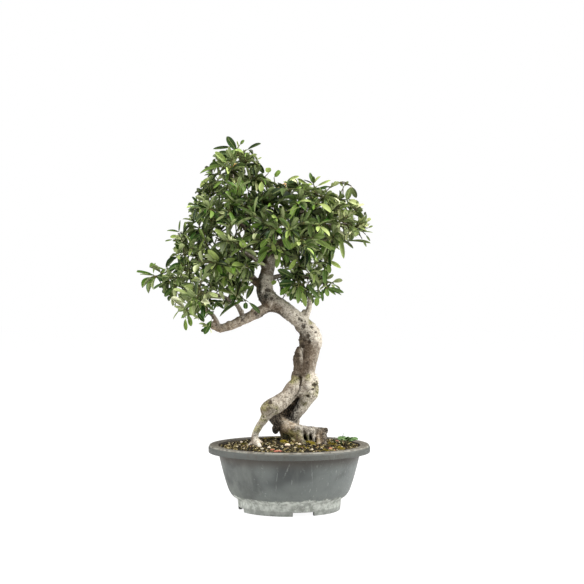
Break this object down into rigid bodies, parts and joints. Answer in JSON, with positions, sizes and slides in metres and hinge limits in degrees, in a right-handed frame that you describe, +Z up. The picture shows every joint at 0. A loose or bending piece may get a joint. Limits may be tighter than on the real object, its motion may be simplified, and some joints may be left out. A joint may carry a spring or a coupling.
{
  "type": "firethorn bonsai",
  "caption": "Firethorn bonsai tree on exposed arching roots, with a leaning trunk and a broad evergreen crown, growing in a round grey training pot.",
  "frame": {"origin": "under the middle of the whole object's bounding box, on the surface that the pot stands on", "axes": "+Z up; -Y is the front that shows the arch of the roots and the crown reaching left; +X to the right of that view"},
  "size_m": [0.3236, 0.222, 0.5091],
  "materials": {
    "pot": "matte grey moulded plastic, dusty and scratched, with lime on the foot",
    "soil": "gritty mix of dark, ochre and pale granules",
    "wood": "light grey-beige bark with pits, scars and a little lichen",
    "leaves": "glossy leathery dark green leaves with paler undersides, on thin twigs",
    "flower_heads": "dull orange-tan spent flower buds",
    "weed": "soft fresh green leaves"
  },
  "bodies": {
    "root": {"flower_head_1": "flower_heads", "flower_head_2": "flower_heads", "grass": "weed", "pot": "pot", "soil": "soil", "spray_apex_1": "leaves", "spray_apex_2": "leaves", "spray_apex_3": "leaves", "spray_apex_4": "leaves", "spray_apex_5": "leaves", "spray_apex_6": "leaves", "spray_apex_7": "leaves", "spray_apex_8": "leaves", "spray_apex_9": "leaves", "spray_back_1": "leaves", "spray_back_2": "leaves", "spray_back_3": "leaves", "spray_back_4": "leaves", "spray_back_5": "leaves", "spray_front_1": "leaves", "spray_front_2": "leaves", "spray_front_3": "leaves", "spray_front_4": "leaves", "spray_front_5": "leaves", "spray_front_6": "leaves", "spray_left_1": "leaves", "spray_left_10": "leaves", "spray_left_11": "leaves", "spray_left_12": "leaves", "spray_left_13": "leaves", "spray_left_2": "leaves", "spray_left_3": "leaves", "spray_left_4": "leaves", "spray_left_5": "leaves", "spray_left_6": "leaves", "spray_left_7": "leaves", "spray_left_8": "leaves", "spray_left_9": "leaves", "spray_low_right_1": "leaves", "spray_low_right_2": "leaves", "spray_low_right_3": "leaves", "spray_low_right_4": "leaves", "spray_right_1": "leaves", "spray_right_10": "leaves", "spray_right_2": "leaves", "spray_right_3": "leaves", "spray_right_4": "leaves", "spray_right_5": "leaves", "spray_right_6": "leaves", "spray_right_7": "leaves", "spray_right_8": "leaves", "spray_right_9": "leaves", "spray_upper_left_1": "leaves", "spray_upper_left_2": "leaves", "spray_upper_left_3": "leaves", "spray_upper_left_4": "leaves", "spray_upper_left_5": "leaves", "spray_upper_left_6": "leaves", "weed": "weed", "wood": "wood"}
  },
  "joints": []
}
